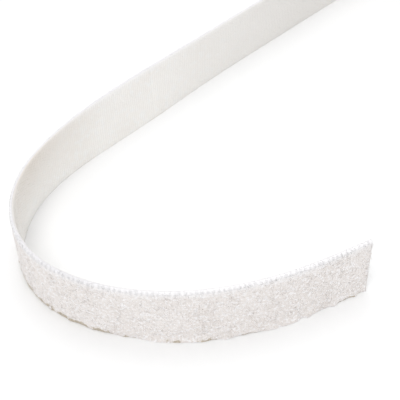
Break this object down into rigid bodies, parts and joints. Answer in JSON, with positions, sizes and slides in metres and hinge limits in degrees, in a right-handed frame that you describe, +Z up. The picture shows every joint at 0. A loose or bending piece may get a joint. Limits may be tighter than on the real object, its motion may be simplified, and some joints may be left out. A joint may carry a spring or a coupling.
{
  "type": "hook and loop tape roll",
  "caption": "Roll of white self-gripping hook and loop tape lying flat on its core, with its free end run out on edge in an open curl.",
  "frame": {"origin": "on the ground under the middle of the whole object's box", "axes": "+Z up, along the roll's axis and the tape's width; +X to the right and +Y away, as the picture looks"},
  "size_m": [0.2588, 0.2208, 0.02],
  "materials": {
    "core_board": "matt cardboard",
    "adhesive": "satin",
    "wound_tape": "woven edges of wound tape",
    "loop_fabric": "fine nylon loop pile",
    "hook_sheet": "finely ribbed hook face"
  },
  "bodies": {
    "roll": {"core_tube": "core_board", "core_adhesive_strip": "adhesive", "inner_turns": "wound_tape", "outer_turn_loop_fabric": "loop_fabric", "outer_turn_hook_sheet": "hook_sheet"},
    "run_root": {"run_root_loop_fabric": "loop_fabric", "run_root_hook_sheet": "hook_sheet"},
    "run_back": {"run_back_loop_fabric": "loop_fabric", "run_back_hook_sheet": "hook_sheet"},
    "run_bend": {"run_bend_loop_fabric": "loop_fabric", "run_bend_hook_sheet": "hook_sheet"},
    "run_front": {"run_front_loop_fabric": "loop_fabric", "run_front_hook_sheet": "hook_sheet"}
  },
  "joints": [
    {"name": "peel_line", "type": "hinge", "parent": "roll", "child": "run_root", "pos_m": [0.03124, 0.09686, 0.01], "axis": [0, 0, -1], "range_deg": [0, 40], "stiffness_Nm_per_rad": 0.0008},
    {"name": "back_bend_line", "type": "hinge", "parent": "run_root", "child": "run_back", "pos_m": [-0.06127, 0.01301, 0.01], "axis": [0, 0, -1], "range_deg": [-10, 30], "stiffness_Nm_per_rad": 0.0008},
    {"name": "curl_start_bend_line", "type": "hinge", "parent": "run_back", "child": "run_bend", "pos_m": [-0.12151, -0.05265, 0.01], "axis": [0, 0, -1], "range_deg": [-20, 35], "stiffness_Nm_per_rad": 0.0008},
    {"name": "curl_end_bend_line", "type": "hinge", "parent": "run_bend", "child": "run_front", "pos_m": [-0.11782, -0.09845, 0.01], "axis": [0, 0, -1], "range_deg": [-20, 35], "stiffness_Nm_per_rad": 0.0008}
  ]
}
